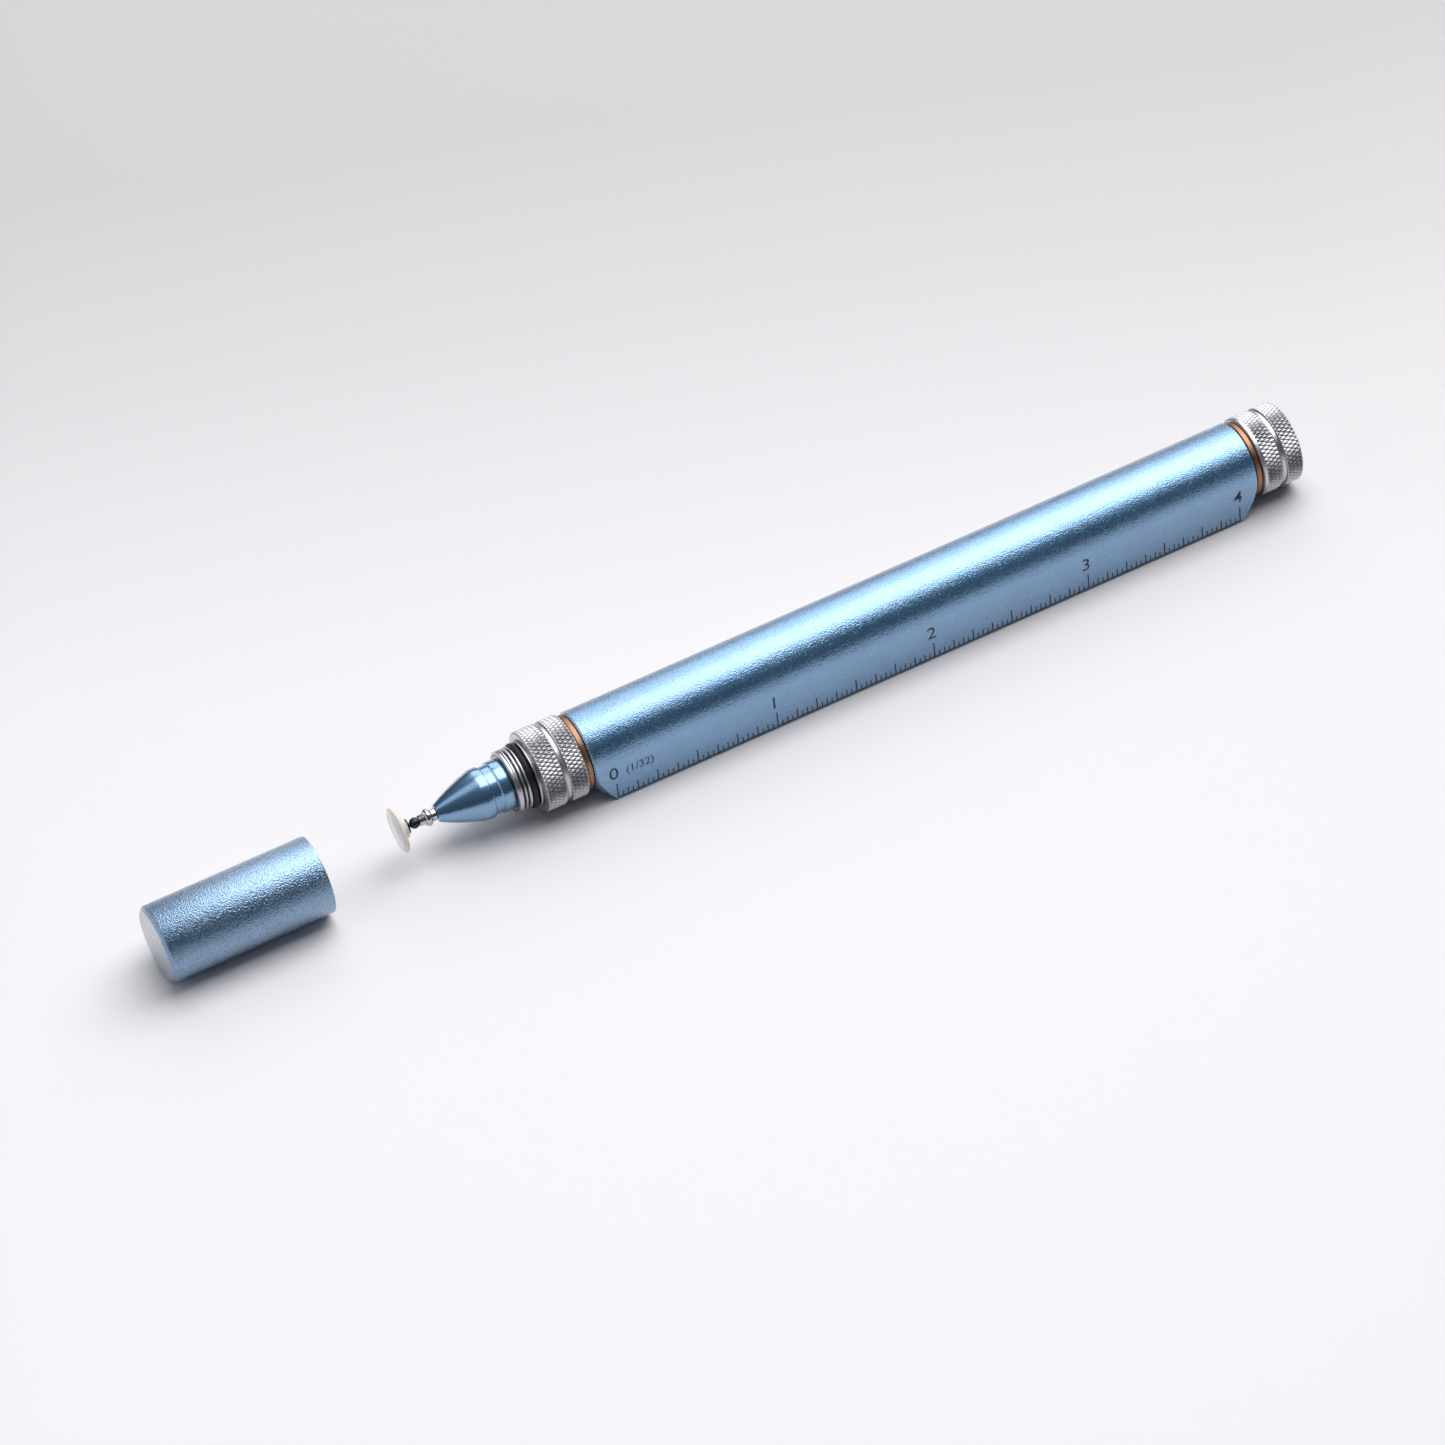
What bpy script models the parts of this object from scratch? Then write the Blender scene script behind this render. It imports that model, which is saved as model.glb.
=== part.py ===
"""Multi tool pen with its cap taken off: a ruler barrel between two knurled
collars, a stylus nose over a ballpoint refill, and a driver bit in the rear."""

import math

import bmesh
import bpy

# Barrel: half-round above, flat sides, flat rest below, ends turned to a cone
BARREL_LENGTH = 0.1078
BARREL_BORE_RADIUS = 0.0044
BARREL_END_WALL = 0.00122
CROWN_CHAMFER = 0.00023
FLAT_DROP = 0.0003
LOWER_EDGE_ROUND = 0.0004
BORE_MOUTH_CHAMFER = 0.00025

# Fits
SEAM_GAP = 0.0002
WELD_DISTANCE = 0.0000002
RUNNING_CLEARANCE = 0.0003
SNUG_CLEARANCE = 0.00015
SEAL_CLEARANCE = 0.0001
CUT_OVERRUN = 0.0005

# Washers and collars at both ends
WASHER_THICKNESS = 0.0006
WASHER_CHAMFER = 0.0001
COLLAR_LENGTH = 0.0066
COLLAR_TABLE_CLEARANCE = 0.00005
COLLAR_CHAMFER = 0.00035
COLLAR_SMALL_CHAMFER = 0.00015
GRIP_GROOVE_WIDTH = 0.0009
GRIP_GROOVE_DEPTH = 0.00035
GRIP_WIDE_LAND = 0.0006
GRIP_NARROW_LAND = 0.0002
KNURL_DEPTH = 0.00025
KNURL_EDGE = 0.0001
KNURL_COUNT = 40
KNURL_ROWS = 4
SPIGOT_DEPTH = 0.005
SPIGOT_CHAMFER = 0.0003
SPIGOT_SEAL_INSET = 0.0012
SPIGOT_SEAL_CORD_RADIUS = 0.00025
SPIGOT_WALL = 0.0008

# Nipple ahead of the front collar: neck, lip, seal and cap thread
NIPPLE_WALL = 0.00135
NECK_LENGTH = 0.00025
NECK_DEPTH = 0.0005
LIP_THICKNESS = 0.00025
LIP_RISE = 0.00035
CAP_SEAL_CORD_RADIUS = 0.00045
CAP_SEAL_BELOW_LIP = 0.00013
CAP_THREAD_LENGTH = 0.002
CAP_THREAD_CHAMFER = 0.0003

# Nose
NOSE_STEP = 0.00085
NOSE_BACK_LENGTH = 0.00155
NOSE_GROOVE_LENGTH = 0.0015
NOSE_GROOVE_DEPTH = 0.00026
NOSE_FRONT_LENGTH = 0.0026
NOSE_EDGE_ROUND = 0.00015
NOSE_CONE_LENGTH = 0.00503
NOSE_CONE_BULGE = 0.0002
NOSE_TIP_RADIUS = 0.00119
NOSE_SPIGOT_DEPTH = 0.0042
NOSE_CAVITY_CLEARANCE = 0.00055
NOSE_CAVITY_END_CLEARANCE = 0.0008

# Stylus
STEM_SHANK_RADIUS = 0.00055
STEM_SHANK_LENGTH = 0.0009
STEM_NECK_RADIUS = 0.00085
STEM_NECK_LENGTH = 0.00077
STEM_BULGE_RADIUS = 0.00127
STEM_BULGE_LENGTH = 0.0011
STEM_SLEEVE_LENGTH = 0.0008
STYLUS_BALL_RADIUS = 0.0008
STYLUS_BALL_REACH = 0.0006
BALL_SEAT_CLEARANCE = 0.00005
HUB_NECK_RADIUS = 0.00023
HUB_NECK_LENGTH = 0.00015
HUB_RADIUS = 0.00107
HUB_LENGTH = 0.0012
HUB_RIB_DEPTH = 0.00017
HUB_RIB_COUNT = 3
RIB_CREST_SHARE = 0.5
RIB_FALL_SHARE = 0.6
RIB_FLOOR_SHARE = 0.9
DISC_RADIUS = 0.00333
DISC_THICKNESS = 0.0004
DISC_EDGE_CHAMFER = 0.0001
DISC_BOSS_WALL = 0.00033
DISC_BOSS_LENGTH = 0.0009

# Refill
REFILL_RADIUS = 0.00115
REFILL_WALL = 0.0002
REFILL_TUBE_LENGTH = 0.061
REFILL_BODY_LENGTH = 0.0016
REFILL_CONE_LENGTH = 0.0026
REFILL_TIP_RADIUS = 0.0005
REFILL_SHANK_LENGTH = 0.002
REFILL_PLUG_LENGTH = 0.0014
WRITING_BALL_RADIUS = 0.00035
WRITING_BALL_PROUD = 0.00024
BUSH_LENGTH = 0.008
BUSH_CHAMFER = 0.0003

# Bit holder and driver bit in the rear collar
END_WALL = 0.002
HOLDER_LENGTH = 0.0138
HOLDER_FLOOR = 0.0005
MAGNET_RADIUS = 0.0018
MAGNET_LENGTH = 0.0015
BIT_ACROSS_FLATS = 0.004
BIT_HEX_LENGTH = 0.0156
BIT_SHANK_RADIUS = 0.0016
BIT_SHANK_LENGTH = 0.0036
BIT_TIP_LENGTH = 0.0026
BIT_TIP_RADIUS = 0.0006
BIT_BLADE_THICKNESS = 0.0006
BIT_WING_THICKNESS = 0.0006
BIT_HEX_CHAMFER = 0.0004

# Cap
CAP_CLEARANCE = 0.0002
CAP_WALL = 0.0005
CAP_LENGTH = 0.0246
CAP_END_WALL = 0.002
CAP_END_CHAMFER = 0.0006
CAP_MOUTH_CHAMFER = 0.00015
CAP_BORE_CLEARANCE = 0.0001
CAP_BORE_CHAMFER = 0.0005
CAP_MOUTH_EXTRA = 0.0004
CAP_SEAT_GAP = 0.0001
CAP_TAKEN_OFF = 0.033
CAP_SIDE_OFFSET = 0.00107

# Facets of the turned pieces
LARGE_STEPS = 36
MIDDLE_STEPS = 18
SMALL_STEPS = 16
FINE_STEPS = 12
ROUND_STEPS = 6
KNURL_STEPS = 2 * KNURL_COUNT
SHARP_ANGLE = math.radians(30)

# Radii that follow from the bore outward
end_radius = BARREL_BORE_RADIUS + BARREL_END_WALL
crown_radius = end_radius + CROWN_CHAMFER
axis_height = crown_radius + FLAT_DROP
collar_radius = axis_height - COLLAR_TABLE_CLEARANCE
spigot_radius = BARREL_BORE_RADIUS - RUNNING_CLEARANCE
collar_bore_radius = spigot_radius - SPIGOT_WALL
thread_radius = collar_bore_radius + NIPPLE_WALL
lip_radius = thread_radius + LIP_RISE
cap_mouth_radius = lip_radius + CAP_CLEARANCE
cap_radius = cap_mouth_radius + CAP_WALL
cap_bore_radius = thread_radius + CAP_BORE_CLEARANCE
nose_radius = thread_radius - NOSE_STEP
nose_spigot_radius = collar_bore_radius - RUNNING_CLEARANCE
refill_bore_radius = REFILL_RADIUS - REFILL_WALL
shank_radius = refill_bore_radius - SNUG_CLEARANCE
cavity_radius = REFILL_RADIUS + NOSE_CAVITY_CLEARANCE

# Stations along the pen, from the front end plane of the barrel, inward positive
collar_back = -2 * SEAM_GAP - WASHER_THICKNESS
collar_front = collar_back - COLLAR_LENGTH
neck_front = collar_front - NECK_LENGTH
lip_front = neck_front - LIP_THICKNESS
cap_seal_groove = 2 * (CAP_SEAL_CORD_RADIUS + SEAL_CLEARANCE)
seal_front = lip_front - cap_seal_groove
nipple_front = seal_front - CAP_THREAD_LENGTH
nose_back = nipple_front - SNUG_CLEARANCE
nose_groove_back = nose_back - NOSE_BACK_LENGTH
nose_groove_front = nose_groove_back - NOSE_GROOVE_LENGTH
nose_shoulder = nose_groove_front - NOSE_FRONT_LENGTH
nose_tip = nose_shoulder - NOSE_CONE_LENGTH
nose_spigot_back = nose_back + NOSE_SPIGOT_DEPTH
bush_front = nose_spigot_back + RUNNING_CLEARANCE
refill_tip = nose_tip + STEM_SHANK_LENGTH + 2 * RUNNING_CLEARANCE + NOSE_CAVITY_END_CLEARANCE

scene = bpy.context.scene
for old in list(bpy.data.objects):
    bpy.data.objects.remove(old, do_unlink=True)

parts = bpy.data.collections.new("multi_tool_pen")
cutters = bpy.data.collections.new("cutters")
scene.collection.children.link(parts)
scene.collection.children.link(cutters)


def linear(channel):
    """Linear value of an sRGB channel given from 0 to 1."""
    if channel <= 0.04045:
        return channel / 12.92
    return ((channel + 0.055) / 1.055) ** 2.4


def make_material(name, srgb, roughness, metallic, alpha=1.0):
    """Principled material from an sRGB colour."""
    material = bpy.data.materials.new(name)
    material.use_nodes = True
    colour = [linear(channel) for channel in srgb] + [1.0]
    shader = material.node_tree.nodes["Principled BSDF"]
    shader.inputs["Base Color"].default_value = colour
    shader.inputs["Roughness"].default_value = roughness
    shader.inputs["Metallic"].default_value = metallic
    shader.inputs["Alpha"].default_value = alpha
    material.diffuse_color = colour
    return material


def make_empty(name, location, parent=None):
    """Empty on a joint's axis that carries the pieces of one moving body."""
    empty = bpy.data.objects.new(name, None)
    empty.empty_display_size = collar_radius
    empty.location = location
    empty.parent = parent
    parts.objects.link(empty)
    return empty


def evaluated_mesh(obj):
    """Mesh of an object with its modifiers applied."""
    bpy.context.view_layer.update()
    graph = bpy.context.evaluated_depsgraph_get()
    return bpy.data.meshes.new_from_object(obj.evaluated_get(graph))


def soften(mesh):
    """Smooth shading with sharp edges kept."""
    mesh.shade_smooth()
    mesh.set_sharp_from_angle(angle=SHARP_ANGLE)


def finish(obj, material):
    """Give an object its own material and smooth shading."""
    mesh = evaluated_mesh(obj)
    mesh.name = obj.name
    obj.modifiers.clear()
    obj.data = mesh
    mesh.materials.clear()
    mesh.materials.append(material)
    soften(mesh)
    return obj


def turn(name, profile, steps, parent, along=0.0, facing=1, collection=parts):
    """Turn a profile of (radius, station) round the pen's axis.

    The profile runs down its outer side from the innermost station outward.
    A profile that starts off the axis closes on itself and leaves a bore.
    facing is 1 at the front of the pen and -1 at the rear."""
    mesh = bpy.data.meshes.new(name)
    count = len(profile)
    edges = [(index, index + 1) for index in range(count - 1)]
    if profile[0][0] > WELD_DISTANCE:
        edges.append((count - 1, 0))
    mesh.from_pydata([(radius, 0, station) for radius, station in profile], edges, [])
    obj = bpy.data.objects.new(name, mesh)
    collection.objects.link(obj)
    obj.parent = parent
    obj.location = (along, 0, 0)
    obj.rotation_euler = (0, facing * math.pi / 2, 0)
    screw = obj.modifiers.new("turn", "SCREW")
    screw.axis = "Z"
    screw.steps = steps
    screw.render_steps = steps
    screw.use_merge_vertices = True
    screw.merge_threshold = WELD_DISTANCE
    return obj


def as_cutter(obj):
    """Show a cutter as a wire and leave it out of renders."""
    obj.hide_render = True
    obj.display_type = "WIRE"
    return obj


def cut(obj, cutter, operation="DIFFERENCE"):
    """Boolean of one object with a cutter."""
    modifier = obj.modifiers.new(cutter.name, "BOOLEAN")
    modifier.operation = operation
    modifier.solver = "EXACT"
    modifier.object = as_cutter(cutter)
    return obj


def arc(centre_radius, centre_station, radius, start, end, steps):
    """Points of an arc in the profile's plane, angles from +radius toward +station."""
    points = []
    for index in range(steps + 1):
        angle = start + (end - start) * index / steps
        points.append((centre_radius + radius * math.cos(angle), centre_station + radius * math.sin(angle)))
    return points


def ring_of_cord(name, centre_radius, cord_radius, steps, parent, along, facing=1):
    """O-ring: a round cord turned round the axis."""
    profile = arc(centre_radius, 0, cord_radius, math.pi / 2, -3 * math.pi / 2, ROUND_STEPS)
    return turn(name, profile[:-1], steps, parent, along, facing)


# Barrel section: crown, flat sides tangent to it, flat rest with rounded lower edges
def section_points():
    points = []
    half = LARGE_STEPS // 2
    for index in range(half + 1):
        angle = math.pi * index / half
        points.append((-crown_radius * math.sin(angle), crown_radius * math.cos(angle)))
    for side, start in ((-1, math.pi), (1, math.pi / 2)):
        centre = (axis_height - LOWER_EDGE_ROUND, side * (crown_radius - LOWER_EDGE_ROUND))
        corner = []
        for index in range(ROUND_STEPS // 2 + 1):
            angle = math.pi / 2 * index / (ROUND_STEPS // 2)
            corner.append((centre[0] + LOWER_EDGE_ROUND * math.sin(angle),
                           centre[1] + side * LOWER_EDGE_ROUND * math.cos(angle)))
        points.extend(corner if side < 0 else reversed(corner))
    return points


def extruded_section(name, points, length, parent):
    """Prism along the pen from a closed 2D outline, as a closed mesh."""
    curve = bpy.data.curves.new(name, "CURVE")
    curve.dimensions = "2D"
    curve.fill_mode = "BOTH"
    curve.extrude = length / 2
    spline = curve.splines.new("POLY")
    spline.points.add(len(points) - 1)
    for point, (down, across) in zip(spline.points, points):
        point.co = (down, across, 0, 1)
    spline.use_cyclic_u = True
    outline = bpy.data.objects.new(name + "_outline", curve)
    parts.objects.link(outline)
    outline.parent = parent
    outline.rotation_euler = (0, math.pi / 2, 0)
    mesh = evaluated_mesh(outline)
    work = bmesh.new()
    work.from_mesh(mesh)
    bmesh.ops.remove_doubles(work, verts=work.verts, dist=WELD_DISTANCE)
    bmesh.ops.recalc_face_normals(work, faces=work.faces)
    work.to_mesh(mesh)
    work.free()
    obj = bpy.data.objects.new(name, mesh)
    parts.objects.link(obj)
    obj.parent = parent
    obj.rotation_euler = outline.rotation_euler
    bpy.data.objects.remove(outline, do_unlink=True)
    bpy.data.curves.remove(curve)
    return obj


blue = (0.42, 0.55, 0.68)
steel = (0.78, 0.79, 0.80)
black = (0.05, 0.05, 0.055)

pen = make_empty("pen_axis", (0, 0, axis_height))
front = make_empty("front_collar_axis", (-BARREL_LENGTH / 2, 0, 0), pen)
rear = make_empty("rear_collar_axis", (BARREL_LENGTH / 2, 0, 0), pen)

# Barrel
barrel = extruded_section("barrel", section_points(), BARREL_LENGTH + 2 * CUT_OVERRUN, pen)
corner_radius = math.hypot(crown_radius, axis_height) + CUT_OVERRUN
cone_height = corner_radius - end_radius
half_length = BARREL_LENGTH / 2
end_cones = turn("barrel_end_cones", [
    (0, half_length), (end_radius, half_length), (corner_radius, half_length - cone_height),
    (corner_radius, cone_height - half_length), (end_radius, -half_length), (0, -half_length),
], LARGE_STEPS, pen, collection=cutters)
mouth_radius = BARREL_BORE_RADIUS + BORE_MOUTH_CHAMFER + CUT_OVERRUN
bore_run = half_length + CUT_OVERRUN
bore = turn("barrel_bore", [
    (0, bore_run), (mouth_radius, bore_run), (BARREL_BORE_RADIUS, half_length - BORE_MOUTH_CHAMFER),
    (BARREL_BORE_RADIUS, BORE_MOUTH_CHAMFER - half_length), (mouth_radius, -bore_run), (0, -bore_run),
], LARGE_STEPS, pen, collection=cutters)
cut(barrel, end_cones, "INTERSECT")
cut(barrel, bore)
finish(barrel, make_material("anodised_barrel", blue, 0.45, 0.6))


def washer(name, parent, facing):
    """Copper ring, flush with the barrel's turned end."""
    inner = spigot_radius + SNUG_CLEARANCE
    back = -SEAM_GAP
    tip = back - WASHER_THICKNESS
    profile = [
        (inner, back), (end_radius - WASHER_CHAMFER, back), (end_radius, back - WASHER_CHAMFER),
        (end_radius, tip + WASHER_CHAMFER), (end_radius - WASHER_CHAMFER, tip), (inner, tip),
    ]
    obj = turn(name, profile, LARGE_STEPS, parent, 0, facing)
    return finish(obj, make_material(name + "_copper", (0.80, 0.50, 0.33), 0.25, 1.0))


washer("front_washer", front, 1)
washer("rear_washer", rear, -1)


# Collars
spigot_seal_outer = BARREL_BORE_RADIUS - SEAL_CLEARANCE
spigot_seal_centre = spigot_seal_outer - SPIGOT_SEAL_CORD_RADIUS
spigot_seal_floor = spigot_seal_centre - SPIGOT_SEAL_CORD_RADIUS - SEAL_CLEARANCE
spigot_seal_half = SPIGOT_SEAL_CORD_RADIUS + SEAL_CLEARANCE
spigot_seal_station = SPIGOT_DEPTH - SPIGOT_SEAL_INSET


def spigot_points():
    """Outer side of a spigot inside the barrel, with its seal groove."""
    return [
        (spigot_radius - SPIGOT_CHAMFER, SPIGOT_DEPTH),
        (spigot_radius, SPIGOT_DEPTH - SPIGOT_CHAMFER),
        (spigot_radius, spigot_seal_station + spigot_seal_half),
        (spigot_seal_floor, spigot_seal_station + spigot_seal_half),
        (spigot_seal_floor, spigot_seal_station - spigot_seal_half),
        (spigot_radius, spigot_seal_station - spigot_seal_half),
    ]


def knurl(obj, bands):
    """Cut diamond knurls into the bands of a turned grip.

    Each band's rows of points have every other point sunk, in turn, so the
    grooves cross between them and each raised point tops a diamond."""
    work = bmesh.new()
    work.from_mesh(evaluated_mesh(obj))
    step = 2 * math.pi / KNURL_STEPS
    sunk = set()
    for band in bands:
        for row, station in enumerate(band):
            for vertex in work.verts:
                place = round(math.atan2(vertex.co.y, vertex.co.x) / step)
                if abs(vertex.co.z - station) < WELD_DISTANCE and (place + row) % 2:
                    sunk.add(vertex)
    for vertex in sunk:
        vertex.co.xy *= 1 - KNURL_DEPTH / collar_radius
    for face in list(work.faces):
        corners = list(face.verts)
        low = [index for index, vertex in enumerate(corners) if vertex in sunk]
        if low:
            bmesh.utils.face_split(face, corners[low[0]], corners[(low[0] + 2) % 4])
    mesh = bpy.data.meshes.new(obj.name)
    work.to_mesh(mesh)
    work.free()
    obj.modifiers.clear()
    obj.data = mesh
    return obj


def land(end, chamfer, edge):
    """Smooth rim of a collar, from its end to the edge of its knurl."""
    inward = math.copysign(1, edge - end)
    points = [(collar_radius - chamfer, end), (collar_radius, end + inward * chamfer)]
    if abs(edge - end) > chamfer + KNURL_EDGE:
        points.append((collar_radius, edge - inward * KNURL_EDGE))
    return points


def grip(name, parent, facing, back_land, front_land, front_chamfer):
    """Blank of a collar's outside: two knurled bands beside a smooth groove."""
    band_length = (COLLAR_LENGTH - back_land - front_land - GRIP_GROOVE_WIDTH) / 2
    row_length = band_length / KNURL_ROWS
    floor = collar_radius - GRIP_GROOVE_DEPTH
    bands = []
    for start in (collar_back - back_land, collar_front + front_land + band_length):
        bands.append([start - row_length * row for row in range(KNURL_ROWS + 1)])
    rims = [[(collar_radius, station) for station in band] for band in bands]
    back_rim = land(collar_back, COLLAR_SMALL_CHAMFER, bands[0][0])
    front_rim = land(collar_front, front_chamfer, bands[1][-1])
    groove = [(floor, bands[0][-1] - GRIP_GROOVE_DEPTH), (floor, bands[1][0] + GRIP_GROOVE_DEPTH)]
    profile = [(0, collar_back)] + back_rim + rims[0] + groove + rims[1] + front_rim[::-1] + [(0, collar_front)]
    return knurl(turn(name, profile, KNURL_STEPS, parent, 0, facing, cutters), bands)


collar_middle = (collar_back + collar_front) / 2
cap_seal_centre = lip_radius - CAP_SEAL_BELOW_LIP - CAP_SEAL_CORD_RADIUS
cap_seal_floor = cap_seal_centre - CAP_SEAL_CORD_RADIUS - SEAL_CLEARANCE
front_collar = turn("front_collar", [(0, SPIGOT_DEPTH)] + spigot_points() + [
    (spigot_radius, collar_middle),
    (lip_radius - NECK_DEPTH, collar_middle),
    (lip_radius - NECK_DEPTH, neck_front),
    (lip_radius, neck_front),
    (lip_radius, lip_front),
    (cap_seal_floor, lip_front),
    (cap_seal_floor, seal_front),
    (thread_radius, seal_front),
    (thread_radius, nipple_front + CAP_THREAD_CHAMFER),
    (thread_radius - CAP_THREAD_CHAMFER, nipple_front),
    (0, nipple_front),
], LARGE_STEPS, front)
front_bore = turn("front_bore", [
    (0, SPIGOT_DEPTH + CUT_OVERRUN), (collar_bore_radius, SPIGOT_DEPTH + CUT_OVERRUN),
    (collar_bore_radius, nipple_front - CUT_OVERRUN), (0, nipple_front - CUT_OVERRUN),
], LARGE_STEPS, front, collection=cutters)
front_grip = grip("front_grip", front, 1, GRIP_NARROW_LAND, GRIP_WIDE_LAND, COLLAR_CHAMFER)
cut(front_collar, front_grip, "UNION")
cut(front_collar, front_bore)
finish(front_collar, make_material("front_collar_steel", steel, 0.28, 1.0))

cap_seal = ring_of_cord("cap_seal", cap_seal_centre, CAP_SEAL_CORD_RADIUS, LARGE_STEPS, front,
                        (lip_front + seal_front) / 2)
finish(cap_seal, make_material("cap_seal_rubber", black, 0.55, 0.0))

front_seal = ring_of_cord("front_seal", spigot_seal_centre, SPIGOT_SEAL_CORD_RADIUS, MIDDLE_STEPS, front,
                          spigot_seal_station)
finish(front_seal, make_material("front_seal_rubber", black, 0.55, 0.0))

pocket_floor = collar_front + END_WALL
rear_collar = turn("rear_collar", [(0, SPIGOT_DEPTH)] + spigot_points() + [
    (spigot_radius, collar_middle), (0, collar_middle),
], LARGE_STEPS, rear, 0, -1)
rear_pocket = turn("rear_pocket", [
    (0, SPIGOT_DEPTH + CUT_OVERRUN), (collar_bore_radius, SPIGOT_DEPTH + CUT_OVERRUN),
    (collar_bore_radius, pocket_floor), (0, pocket_floor),
], LARGE_STEPS, rear, 0, -1, cutters)
rear_grip = grip("rear_grip", rear, -1, GRIP_WIDE_LAND, GRIP_NARROW_LAND, COLLAR_SMALL_CHAMFER)
cut(rear_collar, rear_grip, "UNION")
cut(rear_collar, rear_pocket)
finish(rear_collar, make_material("rear_collar_steel", steel, 0.28, 1.0))

rear_seal = ring_of_cord("rear_seal", spigot_seal_centre, SPIGOT_SEAL_CORD_RADIUS, MIDDLE_STEPS, rear,
                         -spigot_seal_station, -1)
finish(rear_seal, make_material("rear_seal_rubber", black, 0.55, 0.0))


# Refill bush, snug in the front collar behind the nose's spigot
bush_outer = collar_bore_radius - SNUG_CLEARANCE
bush_inner = REFILL_RADIUS + SNUG_CLEARANCE
bush_back = bush_front + BUSH_LENGTH
refill_bush = turn("refill_bush", [
    (bush_inner, bush_back), (bush_outer - BUSH_CHAMFER, bush_back), (bush_outer, bush_back - BUSH_CHAMFER),
    (bush_outer, bush_front + BUSH_CHAMFER), (bush_outer - BUSH_CHAMFER, bush_front), (bush_inner, bush_front),
], MIDDLE_STEPS, front)
finish(refill_bush, make_material("refill_bush_plastic", (0.85, 0.85, 0.83), 0.5, 0.0))

# Nose, which slides out of the front collar
nose = make_empty("nose_axis", (nose_back, 0, 0), front)
nose_seal_outer = collar_bore_radius - SEAL_CLEARANCE
nose_seal_centre = nose_seal_outer - SPIGOT_SEAL_CORD_RADIUS
nose_seal_floor = nose_seal_centre - SPIGOT_SEAL_CORD_RADIUS - SEAL_CLEARANCE
nose_seal_station = NOSE_SPIGOT_DEPTH - SPIGOT_SEAL_INSET
cavity_shoulder = refill_tip - nose_back + REFILL_CONE_LENGTH
cavity_end = nose_tip - nose_back + STEM_SHANK_LENGTH + 2 * RUNNING_CLEARANCE
cavity_end_radius = REFILL_TIP_RADIUS + RUNNING_CLEARANCE
stem_hole_radius = STEM_SHANK_RADIUS + SNUG_CLEARANCE


def cone_points():
    """Slightly swollen cone from the nose's shoulder to its tip."""
    points = []
    for index in range(1, ROUND_STEPS):
        share = index / ROUND_STEPS
        radius = nose_radius + (NOSE_TIP_RADIUS - nose_radius) * share
        swell = NOSE_CONE_BULGE * math.sin(math.pi * share)
        points.append((radius + swell, nose_shoulder - nose_back - NOSE_CONE_LENGTH * share))
    return points


nose_floor = nose_radius - NOSE_GROOVE_DEPTH
tip = nose_tip - nose_back
nose_cone = turn("nose_cone", [
    (0, cavity_end),
    (cavity_end_radius, cavity_end),
    (cavity_radius, cavity_shoulder),
    (cavity_radius, NOSE_SPIGOT_DEPTH),
    (nose_spigot_radius - SPIGOT_CHAMFER, NOSE_SPIGOT_DEPTH),
    (nose_spigot_radius, NOSE_SPIGOT_DEPTH - SPIGOT_CHAMFER),
    (nose_spigot_radius, nose_seal_station + spigot_seal_half),
    (nose_seal_floor, nose_seal_station + spigot_seal_half),
    (nose_seal_floor, nose_seal_station - spigot_seal_half),
    (nose_spigot_radius, nose_seal_station - spigot_seal_half),
    (nose_spigot_radius, 0),
    (nose_radius - NOSE_EDGE_ROUND, 0),
    (nose_radius, -NOSE_EDGE_ROUND),
    (nose_radius, nose_groove_back - nose_back),
    (nose_floor, nose_groove_back - nose_back - NOSE_GROOVE_DEPTH),
    (nose_floor, nose_groove_front - nose_back + NOSE_GROOVE_DEPTH),
    (nose_radius, nose_groove_front - nose_back),
    (nose_radius, nose_shoulder - nose_back),
] + cone_points() + [
    (NOSE_TIP_RADIUS, tip),
    (stem_hole_radius, tip),
    (stem_hole_radius, tip + STEM_SHANK_LENGTH + SNUG_CLEARANCE),
    (0, tip + STEM_SHANK_LENGTH + SNUG_CLEARANCE),
], LARGE_STEPS, nose)
finish(nose_cone, make_material("nose_anodised", blue, 0.4, 0.6))

nose_seal = ring_of_cord("nose_seal", nose_seal_centre, SPIGOT_SEAL_CORD_RADIUS, MIDDLE_STEPS, nose,
                         nose_seal_station)
finish(nose_seal, make_material("nose_seal_rubber", black, 0.55, 0.0))

# Stylus stem in the nose's tip, with a hollow seat for the ball
stem_back = tip - SNUG_CLEARANCE
bulge_back = tip - STEM_NECK_LENGTH
bulge_front = bulge_back - STEM_BULGE_LENGTH
sleeve_front = bulge_front - STEM_SLEEVE_LENGTH
ball_station = sleeve_front - STYLUS_BALL_REACH
seat_radius = STYLUS_BALL_RADIUS + BALL_SEAT_CLEARANCE
seat_start = math.asin(STYLUS_BALL_REACH / seat_radius)
seat = arc(0, ball_station, seat_radius, seat_start, math.pi / 2, ROUND_STEPS // 2)
bulge = [(STEM_NECK_RADIUS + (STEM_BULGE_RADIUS - STEM_NECK_RADIUS) * math.sin(math.pi * index / ROUND_STEPS),
          bulge_back - STEM_BULGE_LENGTH * index / ROUND_STEPS) for index in range(ROUND_STEPS + 1)]
stylus_stem = turn("stylus_stem", [
    (0, tip + STEM_SHANK_LENGTH),
    (STEM_SHANK_RADIUS, tip + STEM_SHANK_LENGTH),
    (STEM_SHANK_RADIUS, stem_back),
    (STEM_NECK_RADIUS, stem_back),
] + bulge + [(STYLUS_BALL_RADIUS, sleeve_front)] + seat[:-1] + [(0, ball_station + seat_radius)],
    SMALL_STEPS, nose)
finish(stylus_stem, make_material("stem_chrome", (0.86, 0.87, 0.88), 0.1, 1.0))

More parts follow.
